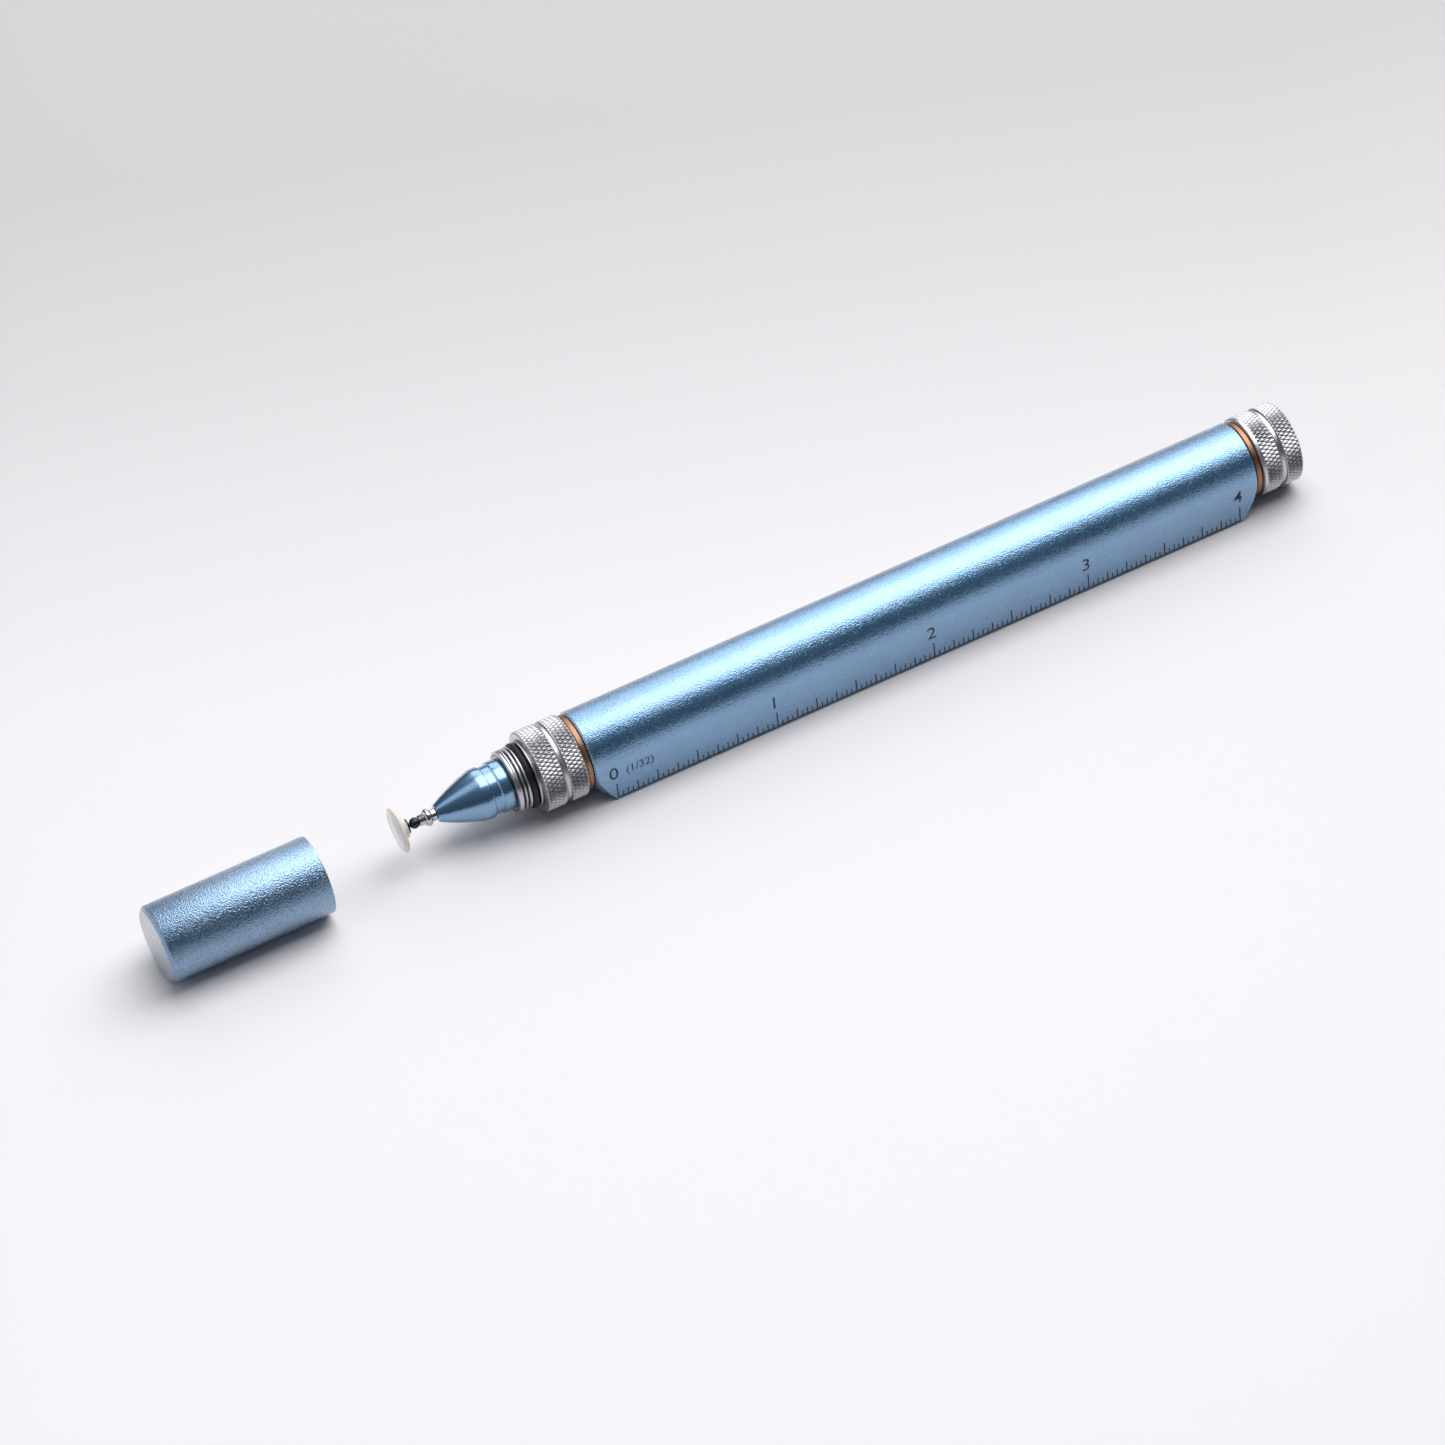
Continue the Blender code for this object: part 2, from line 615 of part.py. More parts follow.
# Ball joint: the ball turns in the stem's seat, and the hub turns about the same centre
ball_axis = make_empty("stylus_ball_axis", (ball_station, 0, 0), nose)
hub_axis = make_empty("stylus_hub_axis", (0, 0, 0), ball_axis)
stylus_ball = turn("stylus_ball", arc(0, 0, STYLUS_BALL_RADIUS, math.pi / 2, -math.pi / 2, ROUND_STEPS),
                   FINE_STEPS, ball_axis)
finish(stylus_ball, make_material("ball_plastic", black, 0.3, 0.0))

hub_back = -seat_radius - HUB_NECK_LENGTH
hub_front = hub_back - HUB_LENGTH
rib_pitch = HUB_LENGTH / HUB_RIB_COUNT
ribs = []
for index in range(HUB_RIB_COUNT):
    station = hub_back - rib_pitch * index
    ribs += [(HUB_RADIUS, station), (HUB_RADIUS, station - rib_pitch * RIB_CREST_SHARE)]
    if index < HUB_RIB_COUNT - 1:
        ribs += [(HUB_RADIUS - HUB_RIB_DEPTH, station - rib_pitch * RIB_FALL_SHARE)]
        ribs += [(HUB_RADIUS - HUB_RIB_DEPTH, station - rib_pitch * RIB_FLOOR_SHARE)]
stylus_hub = turn("stylus_hub", [(0, -seat_radius), (HUB_NECK_RADIUS, -seat_radius),
                                 (HUB_NECK_RADIUS, hub_back)] + ribs + [
    (HUB_RADIUS, hub_front), (0, hub_front),
], SMALL_STEPS, hub_axis)
finish(stylus_hub, make_material("hub_plastic", black, 0.35, 0.0))

boss_bore = HUB_RADIUS + SEAL_CLEARANCE
boss_radius = boss_bore + DISC_BOSS_WALL
disc_back = hub_front - SEAL_CLEARANCE
disc_front = disc_back - DISC_THICKNESS
stylus_disc = turn("stylus_disc", [
    (0, disc_back),
    (boss_bore, disc_back),
    (boss_bore, disc_back + DISC_BOSS_LENGTH),
    (boss_radius, disc_back + DISC_BOSS_LENGTH),
    (boss_radius, disc_back),
    (DISC_RADIUS - DISC_EDGE_CHAMFER, disc_back),
    (DISC_RADIUS, disc_back - DISC_EDGE_CHAMFER),
    (DISC_RADIUS, disc_front + DISC_EDGE_CHAMFER),
    (DISC_RADIUS - DISC_EDGE_CHAMFER, disc_front),
    (0, disc_front),
], MIDDLE_STEPS, hub_axis)
finish(stylus_disc, make_material("disc_clear", (0.93, 0.95, 0.96), 0.05, 0.0, 0.35))

# Refill, drawn out of the front collar's inner end, with its point in the nose's cavity
refill = make_empty("refill_axis", (refill_tip, 0, 0), front)
cone_back = REFILL_CONE_LENGTH
body_back = cone_back + REFILL_BODY_LENGTH
shank_back = body_back + REFILL_SHANK_LENGTH
socket_radius = WRITING_BALL_RADIUS + BALL_SEAT_CLEARANCE
ball_inset = WRITING_BALL_RADIUS - WRITING_BALL_PROUD
socket_depth = ball_inset + WRITING_BALL_RADIUS + BALL_SEAT_CLEARANCE
refill_point = turn("refill_point", [
    (0, shank_back), (shank_radius, shank_back), (shank_radius, body_back), (REFILL_RADIUS, body_back),
    (REFILL_RADIUS, cone_back), (REFILL_TIP_RADIUS, 0), (socket_radius, 0), (socket_radius, socket_depth),
    (0, socket_depth),
], SMALL_STEPS, refill)
finish(refill_point, make_material("point_metal", (0.72, 0.66, 0.52), 0.3, 1.0))

writing_ball = turn("writing_ball", arc(0, 0, WRITING_BALL_RADIUS, math.pi / 2, -math.pi / 2, ROUND_STEPS),
                    FINE_STEPS, refill, ball_inset)
finish(writing_ball, make_material("ball_carbide", (0.5, 0.5, 0.52), 0.2, 1.0))

tube_front = body_back + SNUG_CLEARANCE
tube_back = tube_front + REFILL_TUBE_LENGTH
refill_tube = turn("refill_tube", [
    (refill_bore_radius, tube_back), (REFILL_RADIUS, tube_back),
    (REFILL_RADIUS, tube_front), (refill_bore_radius, tube_front),
], SMALL_STEPS, refill)
finish(refill_tube, make_material("refill_tube_metal", (0.75, 0.76, 0.77), 0.35, 1.0))

plug_front = tube_back + SNUG_CLEARANCE
refill_plug = turn("refill_plug", [
    (0, plug_front + REFILL_PLUG_LENGTH), (REFILL_RADIUS, plug_front + REFILL_PLUG_LENGTH),
    (REFILL_RADIUS, plug_front), (shank_radius, plug_front),
    (shank_radius, plug_front - REFILL_SHANK_LENGTH), (0, plug_front - REFILL_SHANK_LENGTH),
], SMALL_STEPS, refill)
finish(refill_plug, make_material("plug_plastic", (0.15, 0.22, 0.55), 0.45, 0.0))

# Bit holder in the rear collar; stations run outward from the pocket's floor
holder_outer = collar_bore_radius - SNUG_CLEARANCE
holder_floor = pocket_floor + SNUG_CLEARANCE
holder_mouth = holder_floor + HOLDER_LENGTH
magnet_bore = MAGNET_RADIUS + SNUG_CLEARANCE
magnet_outer_end = holder_floor + HOLDER_FLOOR + SNUG_CLEARANCE
socket_end = magnet_outer_end + MAGNET_LENGTH
socket_corner = (BIT_ACROSS_FLATS / 2 + SNUG_CLEARANCE) / math.cos(math.pi / 6)
bit_holder = turn("bit_holder", [
    (0, holder_floor + HOLDER_FLOOR), (magnet_bore, holder_floor + HOLDER_FLOOR), (magnet_bore, holder_mouth),
    (holder_outer - BUSH_CHAMFER, holder_mouth), (holder_outer, holder_mouth - BUSH_CHAMFER),
    (holder_outer, holder_floor), (0, holder_floor),
], MIDDLE_STEPS, rear, 0, -1)
hex_socket = turn("hex_socket", [
    (0, holder_mouth + CUT_OVERRUN), (socket_corner, holder_mouth + CUT_OVERRUN),
    (socket_corner, socket_end), (0, socket_end),
], 6, rear, 0, -1, cutters)
cut(bit_holder, hex_socket)
finish(bit_holder, make_material("holder_steel", (0.62, 0.63, 0.64), 0.35, 1.0))

bit_magnet = turn("bit_magnet", [
    (0, socket_end), (MAGNET_RADIUS, socket_end), (MAGNET_RADIUS, magnet_outer_end), (0, magnet_outer_end),
], SMALL_STEPS, rear, 0, -1)
finish(bit_magnet, make_material("magnet_nickel", (0.7, 0.7, 0.71), 0.25, 1.0))

# Driver bit: hexagon body, round shanks, a cross point inward and a flat blade in the socket
bit = make_empty("driver_bit_axis", (-(socket_end + SNUG_CLEARANCE), 0, 0), rear)
hex_corner = BIT_ACROSS_FLATS / 2 / math.cos(math.pi / 6)
hex_outer_end = BIT_TIP_LENGTH + BIT_SHANK_LENGTH
hex_inner_end = hex_outer_end + BIT_HEX_LENGTH
bit_length = hex_inner_end + BIT_SHANK_LENGTH + BIT_TIP_LENGTH
driver_bit = turn("driver_bit", [
    (0, hex_inner_end), (hex_corner - BIT_HEX_CHAMFER, hex_inner_end),
    (hex_corner, hex_inner_end - BIT_HEX_CHAMFER), (hex_corner, hex_outer_end + BIT_HEX_CHAMFER),
    (hex_corner - BIT_HEX_CHAMFER, hex_outer_end), (0, hex_outer_end),
], 6, bit, 0, -1)
bit_round = turn("bit_round", [
    (0, bit_length), (BIT_TIP_RADIUS, bit_length), (BIT_SHANK_RADIUS, bit_length - BIT_TIP_LENGTH),
    (BIT_SHANK_RADIUS, BIT_TIP_LENGTH), (BIT_TIP_RADIUS, 0), (0, 0),
], SMALL_STEPS, bit, 0, -1, cutters)
cut(driver_bit, bit_round, "UNION")


def box(name, size, location, parent, roll=0.0):
    """Box cutter with its long side along the pen."""
    mesh = bpy.data.meshes.new(name)
    work = bmesh.new()
    bmesh.ops.create_cube(work, size=1)
    bmesh.ops.scale(work, vec=size, verts=work.verts)
    work.to_mesh(mesh)
    work.free()
    obj = bpy.data.objects.new(name, mesh)
    cutters.objects.link(obj)
    obj.parent = parent
    obj.location = location
    obj.rotation_euler = (roll, 0, 0)
    return obj


blade_size = (2 * BIT_TIP_LENGTH, 2 * BIT_SHANK_RADIUS, 2 * BIT_SHANK_RADIUS)
for side in (-1, 1):
    offset = side * (BIT_SHANK_RADIUS + BIT_BLADE_THICKNESS / 2)
    cut(driver_bit, box(f"blade_cut_{side + 1}", blade_size, (0, 0, offset), bit))
wing_size = (2 * BIT_TIP_LENGTH, BIT_SHANK_RADIUS, BIT_SHANK_RADIUS)
wing_offset = BIT_SHANK_RADIUS / 2 + BIT_WING_THICKNESS / 2
for across in (-1, 1):
    for up in (-1, 1):
        place = (-bit_length, across * wing_offset, up * wing_offset)
        cut(driver_bit, box(f"wing_cut_{across + 1}{up + 1}", wing_size, place, bit))
finish(driver_bit, make_material("bit_steel", (0.55, 0.55, 0.56), 0.3, 1.0))

# Cap, taken off: its open end faces the nose and it lies on the table
cap_front = collar_front - CAP_SEAT_GAP - CAP_TAKEN_OFF
cap = make_empty("cap_axis", (cap_front, -CAP_SIDE_OFFSET, cap_radius - axis_height), front)
mouth_depth = -(nipple_front - collar_front + CAP_SEAT_GAP) + CAP_MOUTH_EXTRA
inner_end = CAP_END_WALL - CAP_LENGTH
cap_shell = turn("cap_shell", [
    (0, inner_end),
    (cap_bore_radius - CAP_BORE_CHAMFER, inner_end),
    (cap_bore_radius, inner_end + CAP_BORE_CHAMFER),
    (cap_bore_radius, -mouth_depth),
    (cap_mouth_radius, -mouth_depth),
    (cap_mouth_radius, 0),
    (cap_radius - CAP_MOUTH_CHAMFER, 0),
    (cap_radius, -CAP_MOUTH_CHAMFER),
    (cap_radius, CAP_END_CHAMFER - CAP_LENGTH),
    (cap_radius - CAP_END_CHAMFER, -CAP_LENGTH),
    (0, -CAP_LENGTH),
], LARGE_STEPS, cap)
finish(cap_shell, make_material("cap_anodised", blue, 0.42, 0.6))
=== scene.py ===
"""Looks for the multi tool pen: a ruler barrel with knurled collars and a disc
stylus, resting on a pale surface with its cap taken off and lying ahead."""

import math

import bmesh
import bpy
from mathutils import Matrix, Vector


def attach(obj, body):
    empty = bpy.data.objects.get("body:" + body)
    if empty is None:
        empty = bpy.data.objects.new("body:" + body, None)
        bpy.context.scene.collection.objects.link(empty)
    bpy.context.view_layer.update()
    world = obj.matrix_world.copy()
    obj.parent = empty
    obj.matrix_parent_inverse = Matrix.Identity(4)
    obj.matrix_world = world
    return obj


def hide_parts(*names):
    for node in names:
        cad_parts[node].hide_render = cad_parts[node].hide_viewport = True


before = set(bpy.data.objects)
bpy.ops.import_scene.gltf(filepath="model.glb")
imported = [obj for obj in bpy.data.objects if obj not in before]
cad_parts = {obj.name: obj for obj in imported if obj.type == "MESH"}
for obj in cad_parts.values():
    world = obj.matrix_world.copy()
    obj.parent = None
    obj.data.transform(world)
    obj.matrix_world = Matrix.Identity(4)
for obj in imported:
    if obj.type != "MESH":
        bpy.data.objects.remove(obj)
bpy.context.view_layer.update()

# Lengths are in millimetres, and MM turns them into Blender's metres. The pen lies along X, its nose
# toward -X and its scale facing -Y.
MM = 0.001
AXIS_HEIGHT = 6.15
FRONT = -53.9
REAR = 53.9
TAU = 2 * math.pi
INCH = 25.4

# Materials. Noise scales count features per metre, and bump depths are in metres.
LINE_DEPTH = 0.00001
# Colour factor for the painted shade in the collars' grooves
PAINTED_GROOVE_SHADE = (0.18, 0.18, 0.20)


def new_material(name):
    material = bpy.data.materials.new(name)
    material.use_nodes = True
    tree = material.node_tree
    return material, tree, tree.nodes["Principled BSDF"]


def node(tree, kind, inputs=None, **settings):
    made = tree.nodes.new(kind)
    for key, value in settings.items():
        setattr(made, key, value)
    for key, value in (inputs or {}).items():
        if isinstance(value, bpy.types.NodeSocket):
            tree.links.new(value, made.inputs[key])
        else:
            made.inputs[key].default_value = value
    return made


def noise(tree, coords, scale, detail):
    texture = node(tree, "ShaderNodeTexNoise", {"Vector": coords, "Scale": scale, "Detail": detail})
    return texture.outputs["Fac"]


def vector_math(tree, operation, *values):
    return node(tree, "ShaderNodeVectorMath", dict(enumerate(values)), operation=operation)


def math_value(tree, operation, *values):
    return node(tree, "ShaderNodeMath", dict(enumerate(values)), operation=operation).outputs[0]


def scaled(tree, vector, factors):
    return vector_math(tree, "MULTIPLY", vector, factors).outputs["Vector"]


def remap(tree, value, low, high, start=0.0, end=1.0):
    """Map start..end linearly to low..high, and clamp beyond them."""
    ranged = node(tree, "ShaderNodeMapRange", {
        "Value": value, "From Min": start, "From Max": end, "To Min": low, "To Max": high})
    return ranged.outputs["Result"]


def mix_colours(tree, factor, first, second):
    mixed = node(tree, "ShaderNodeMix", data_type="RGBA")
    tree.links.new(factor, mixed.inputs["Factor"])
    for socket, value in (("A", first), ("B", second)):
        target = next(entry for entry in mixed.inputs if entry.name == socket and entry.type == "RGBA")
        if isinstance(value, bpy.types.NodeSocket):
            tree.links.new(value, target)
        else:
            target.default_value = (*value, 1.0)
    return next(entry for entry in mixed.outputs if entry.type == "RGBA")


def add_bump(tree, shader, height, strength, distance):
    bump = node(tree, "ShaderNodeBump", {"Height": height, "Strength": strength, "Distance": distance})
    tree.links.new(bump.outputs["Normal"], shader.inputs["Normal"])
    return bump.outputs["Normal"]


def set_values(shader, **values):
    for key, value in values.items():
        shader.inputs[key.replace("_", " ")].default_value = value


def object_coords(tree):
    return tree.nodes.new("ShaderNodeTexCoord").outputs["Object"]


def anodised(name, deep, pale, roughness, blasted, grain_scale, gloss, turned=False, speckled=False):
    """Dyed aluminium under a sealed, glossy oxide.

    blasted is the depth of the bead-blasted pits in metres, and gloss the oxide's roughness and IOR.
    The colour is cloudy, or follows the pits where speckled. turned adds lines round the axis."""
    material, tree, shader = new_material(name)
    coords = object_coords(tree)
    grain = noise(tree, coords, grain_scale, 1.0)
    if speckled:
        tone = remap(tree, grain, 0.0, 1.0, 0.3, 0.7)
    else:
        cloud = noise(tree, coords, 220.0, 3.0)
        tone = remap(tree, math_value(tree, "ADD", cloud, grain), 0.0, 1.0, 0.6, 1.4)
    colour = mix_colours(tree, tone, deep, pale)
    tree.links.new(colour, shader.inputs["Base Color"])
    rough = remap(tree, grain, roughness - 0.05, roughness + 0.06)
    tree.links.new(rough, shader.inputs["Roughness"])
    height = grain
    if turned:
        rings = noise(tree, scaled(tree, coords, (12000.0, 60.0, 60.0)), 1.0, 1.0)
        height = math_value(tree, "ADD", rings, grain)
    tree.links.new(add_bump(tree, shader, height, 1.0, blasted), shader.inputs["Coat Normal"])
    set_values(shader, Metallic=0.9, Coat_Weight=1.0, Coat_Roughness=gloss[0], Coat_IOR=gloss[1])
    return material


def metal(name, colour, roughness, wear=0.0, lines=0.15):
    """Turned metal with lines of the given strength round the axis, and slight smudges."""
    material, tree, shader = new_material(name)
    coords = object_coords(tree)
    smudge = noise(tree, coords, 400.0, 3.0)
    darker = tuple(channel * (0.82 - wear) for channel in colour)
    tinted = mix_colours(tree, remap(tree, smudge, 0.0, 1.0, 0.35, 0.7), darker, colour)
    tree.links.new(tinted, shader.inputs["Base Color"])
    rings = noise(tree, scaled(tree, coords, (24000.0, 80.0, 80.0)), 1.0, 2.0)
    rough = remap(tree, smudge, roughness - 0.04, roughness + 0.08, 0.3, 0.7)
    tree.links.new(rough, shader.inputs["Roughness"])
    add_bump(tree, shader, rings, lines, LINE_DEPTH)
    set_values(shader, Metallic=1.0)
    return material


def distance_to_axis(tree):
    """Distance in millimetres from the object's X axis."""
    flat = scaled(tree, object_coords(tree), (0.0, 1 / MM, 1 / MM))
    return vector_math(tree, "LENGTH", flat).outputs["Value"]


def darken_grooves(material, levels):
    """Paint shade into the metal's colour where its distance from the axis lies near one of the (radius,
    width) levels.
    """
    tree = material.node_tree
    colour_input = tree.nodes["Principled BSDF"].inputs["Base Color"]
    colour = colour_input.links[0].from_socket
    radius = distance_to_axis(tree)
    for level, width in levels:
        away = math_value(tree, "ABSOLUTE", math_value(tree, "SUBTRACT", radius, level))
        dark = scaled(tree, colour, PAINTED_GROOVE_SHADE)
        colour = mix_colours(tree, remap(tree, away, 0.0, 1.0, 0.0, width), dark, colour)
    tree.links.new(colour, colour_input)


def rubber(name, colour, roughness, gloss=0.5):
    """Rubber or plain plastic with a little dust in paler patches."""
    material, tree, shader = new_material(name)
    coords = object_coords(tree)
    fine = noise(tree, coords, 5000.0, 3.0)
    dust = noise(tree, coords, 700.0, 4.0)
    pale = tuple(min(1.0, channel * 1.6 + 0.006) for channel in colour)
    tree.links.new(mix_colours(tree, remap(tree, dust, 0.0, 1.0, 0.45, 0.8), colour, pale),
                   shader.inputs["Base Color"])
    tree.links.new(remap(tree, fine, roughness - 0.08, roughness + 0.1), shader.inputs["Roughness"])
    add_bump(tree, shader, fine, 0.3, LINE_DEPTH)
    set_values(shader, Specular_IOR_Level=gloss)
    return material


blue = anodised("anodised_blue", (0.085, 0.255, 0.47), (0.115, 0.305, 0.53), 0.27, 0.00007, 5200.0,
                (0.12, 2.2))
blue_turned = anodised("anodised_blue_turned", (0.10, 0.27, 0.48), (0.125, 0.32, 0.55), 0.26, 0.0000015,
                       7000.0, (0.20, 2.2), turned=True)
blue_cap = anodised("anodised_blue_cap", (0.10, 0.20, 0.33), (0.245, 0.395, 0.60), 0.29, 0.0001, 5000.0,
                    (0.16, 1.8), speckled=True)
copper = metal("copper_ring", (0.41, 0.215, 0.12), 0.38, wear=0.1, lines=0.35)
silver = metal("collar_silver", (0.66, 0.66, 0.69), 0.34, lines=0.45)
# Painted shade at the knurl's groove bottoms and the thread roots
darken_grooves(silver, ((5.89, 0.105), (4.15, 0.22)))
chrome = metal("stem_chrome", (0.66, 0.66, 0.68), 0.10, lines=0.05)
dark_seal = rubber("seal_rubber", (0.005, 0.005, 0.006), 0.42, 0.35)
black_gloss = rubber("hub_black", (0.006, 0.006, 0.007), 0.25, 0.5)


# The cap's flat end is painted paler and greyer than its side, a painted reflection of the pale
# surroundings to its left
CAP_END = -65.3
cap_tree = blue_cap.node_tree
cap_colour = cap_tree.nodes["Principled BSDF"].inputs["Base Color"]
cap_along = node(cap_tree, "ShaderNodeSeparateXYZ", {0: object_coords(cap_tree)}).outputs["X"]
cap_end = remap(cap_tree, cap_along, 0.0, 1.0,
                (FRONT + CAP_END + 0.01) * MM, (FRONT + CAP_END + 0.1) * MM)
cap_side = cap_colour.links[0].from_socket
cap_tree.links.new(mix_colours(cap_tree, cap_end, (0.33, 0.37, 0.44), cap_side), cap_colour)


# Mesh helpers; x runs along the pen in millimetres, angle 0 is +Z and grows toward -Y
SMOOTH_ANGLE = math.radians(32)


def put(name, mesh, material, body, replaced=(), centre=(0.0, AXIS_HEIGHT)):
    """Add the mesh as a piece whose own axis lies at centre, (y, z) in millimetres."""
    mesh.shade_smooth()
    mesh.set_sharp_from_angle(angle=SMOOTH_ANGLE)
    mesh.materials.clear()
    mesh.materials.append(material)
    obj = bpy.data.objects.new(name, mesh)
    bpy.context.scene.collection.objects.link(obj)
    obj.location = (0.0, centre[0] * MM, centre[1] * MM)
    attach(obj, body)
    if replaced:
        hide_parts(*replaced)


def finished_mesh(bm, name):
    bmesh.ops.recalc_face_normals(bm, faces=bm.faces)
    mesh = bpy.data.meshes.new(name)
    bm.to_mesh(mesh)
    bm.free()
    return mesh


def lathe_mesh(name, profile, steps, closed=True, radius_at=None):
    """Turn (x, radius) points round the X axis. radius_at(x, angle, radius) may shape the surface."""
    bm = bmesh.new()
    rings = []
    for x, radius in profile:
        if radius <= 0.0:
            rings.append([bm.verts.new((x * MM, 0.0, 0.0))])
            continue
        ring = []
        for index in range(steps):
            angle = TAU * index / steps
            reach = radius_at(x, angle, radius) if radius_at else radius
            corner = (x * MM, -reach * MM * math.sin(angle), reach * MM * math.cos(angle))
            ring.append(bm.verts.new(corner))
        rings.append(ring)
    pairs = list(zip(rings, rings[1:]))
    if closed and len(rings[0]) > 1:
        pairs.append((rings[-1], rings[0]))
    for first, second in pairs:
        if len(first) == 1 and len(second) == 1:
            continue
        for index in range(steps):
            after = (index + 1) % steps
            corners = [first[index % len(first)]]
            corners += [ring[after] for ring in (first, second) if len(ring) > 1]
            corners.append(second[index % len(second)])
            bm.faces.new(corners)
    return finished_mesh(bm, name)


def spread(start, end, count):
    return [start + (end - start) * index / count for index in range(count + 1)]


def front_at(station):
    return FRONT + station


def rear_at(station):
    return REAR - station


def placed(profile, place):
    return [(place(station), radius) for station, radius in profile]


# Barrel: round crown, flat sides and base, ends turned to a cone
CROWN = 5.85
END_RADIUS = 5.62
EDGE_ROUND = 0.4
EDGE_BEVEL = 0.06
CORNER_REACH = 8.9
BORE = 4.4
MOUTH = 5.15
CROWN_STEPS = 96
CORNER_STEPS = 8


def outline():
    """Section of the barrel as (y, z) points round its axis."""
    points = []
    for index in range(CROWN_STEPS + 1):
        angle = math.pi * index / CROWN_STEPS - math.pi / 2
        points.append((CROWN * math.sin(angle), CROWN * math.cos(angle)))
    for side in (1, -1):
        centre = (side * (CROWN - EDGE_ROUND), EDGE_ROUND - AXIS_HEIGHT)
        corner = []
        for index in range(CORNER_STEPS + 1):
            angle = math.pi / 2 * index / CORNER_STEPS
            corner.append((centre[0] + side * EDGE_ROUND * math.cos(angle),
                           centre[1] - EDGE_ROUND * math.sin(angle)))
        points.extend(corner if side > 0 else reversed(corner))
    return points


def prism(name, points, low, high):
    bm = bmesh.new()
    loops = [[bm.verts.new((x * MM, y * MM, z * MM)) for y, z in points] for x in (low, high)]
    count = len(points)
    for index in range(count):
        after = (index + 1) % count
        bm.faces.new((loops[0][index], loops[0][after], loops[1][after], loops[1][index]))
    bm.faces.new(loops[0])
    bm.faces.new(loops[1])
    return finished_mesh(bm, name)


def evaluated_mesh(obj):
    bpy.context.view_layer.update()
    depsgraph = bpy.context.evaluated_depsgraph_get()
    return bpy.data.meshes.new_from_object(obj.evaluated_get(depsgraph))


def trimmed(mesh, tools, bevel):
    """Apply Booleans with (operation, mesh) tools, then a bevel in millimetres on sharp edges."""
    obj = bpy.data.objects.new("work", mesh)
    bpy.context.scene.collection.objects.link(obj)
    helpers = []
    for operation, tool in tools:
        helper = bpy.data.objects.new("tool", tool)
        bpy.context.scene.collection.objects.link(helper)
        helpers.append(helper)
        modifier = obj.modifiers.new("cut", "BOOLEAN")
        modifier.operation = operation
        modifier.solver = "MANIFOLD"
        modifier.object = helper
    modifier = obj.modifiers.new("edges", "BEVEL")
    modifier.width = bevel * MM
    modifier.segments = 2
    modifier.limit_method = "ANGLE"
    modifier.angle_limit = math.radians(25)
    modifier.use_clamp_overlap = True
    result = evaluated_mesh(obj)
    for helper in helpers + [obj]:
        bpy.data.objects.remove(helper)
    return result


cone = CORNER_REACH - END_RADIUS
ends = lathe_mesh("ends", [
    (FRONT, 0), (FRONT, END_RADIUS), (FRONT + cone, CORNER_REACH), (REAR - cone, CORNER_REACH),
    (REAR, END_RADIUS), (REAR, 0)], 192, closed=False)
hole = lathe_mesh("hole", [
    (FRONT - 0.5, 0), (FRONT - 0.5, MOUTH), (FRONT + 0.25, BORE), (REAR - 0.25, BORE),
    (REAR + 0.5, MOUTH), (REAR + 0.5, 0)], 96, closed=False)
barrel_mesh = trimmed(prism("barrel", outline(), FRONT - 1, REAR + 1),
                      [("INTERSECT", ends), ("DIFFERENCE", hole)], EDGE_BEVEL)
put("barrel_body", barrel_mesh, blue, "barrel_body", ["barrel"])

# Scale: four inches in steps of 1/32, with plain numerals, on the flat side
TICK_ZERO = FRONT + 2.88
INCHES = 4
MARKS = 32
FLAT_LOW = 0.42
INK_PROUD = 0.008
INK_SUNK = 0.03
CAPITAL_SHARE = 0.70
TICK_LENGTHS = ((32, 2.6), (16, 2.25), (8, 2.0), (4, 1.6), (2, 1.15), (1, 0.85))
ink, ink_tree, ink_shader = new_material("scale_ink")
ink_coords = object_coords(ink_tree)
ink_grain = noise(ink_tree, ink_coords, 3000.0, 3.0)
ink_tree.links.new(mix_colours(ink_tree, remap(ink_tree, ink_grain, 0.2, 0.9), (0.012, 0.018, 0.028),
                               (0.022, 0.032, 0.048)), ink_shader.inputs["Base Color"])
ink_tree.links.new(remap(ink_tree, ink_grain, 0.45, 0.65), ink_shader.inputs["Roughness"])


def add_bar(bm, left, right, base, top):
    """Add a bar of ink to the flat side, a little proud of it."""
    low = (left, -CROWN - INK_PROUD, base)
    high = (right, -CROWN + INK_SUNK, top)
    corners = bmesh.ops.create_cube(bm, size=1.0)["verts"]
    size = [(high[axis] - low[axis]) * MM for axis in range(3)]
    middle = [(high[axis] + low[axis]) / 2 * MM for axis in range(3)]
    bmesh.ops.scale(bm, vec=size, verts=corners)
    bmesh.ops.translate(bm, vec=middle, verts=corners)


bars = bmesh.new()
for mark in range(INCHES * MARKS + 1):
    half = 0.085 if mark % 4 else 0.1
    middle = TICK_ZERO + mark * INCH / MARKS
    length = next(length for every, length in TICK_LENGTHS if mark % every == 0)
    add_bar(bars, middle - half, middle + half, FLAT_LOW, FLAT_LOW + length)
# Ink base line under the ticks, widened down onto the edge's rounding as a painted shade line along the
# lower edge
add_bar(bars, TICK_ZERO - 0.08, TICK_ZERO + INCHES * INCH + 0.08, FLAT_LOW - 0.06, FLAT_LOW + 0.12)
tick_mesh = bpy.data.meshes.new("scale_ticks")
bars.to_mesh(tick_mesh)
bars.free()
put("scale_ticks", tick_mesh, ink, "barrel_body", centre=(0.0, 0.0))


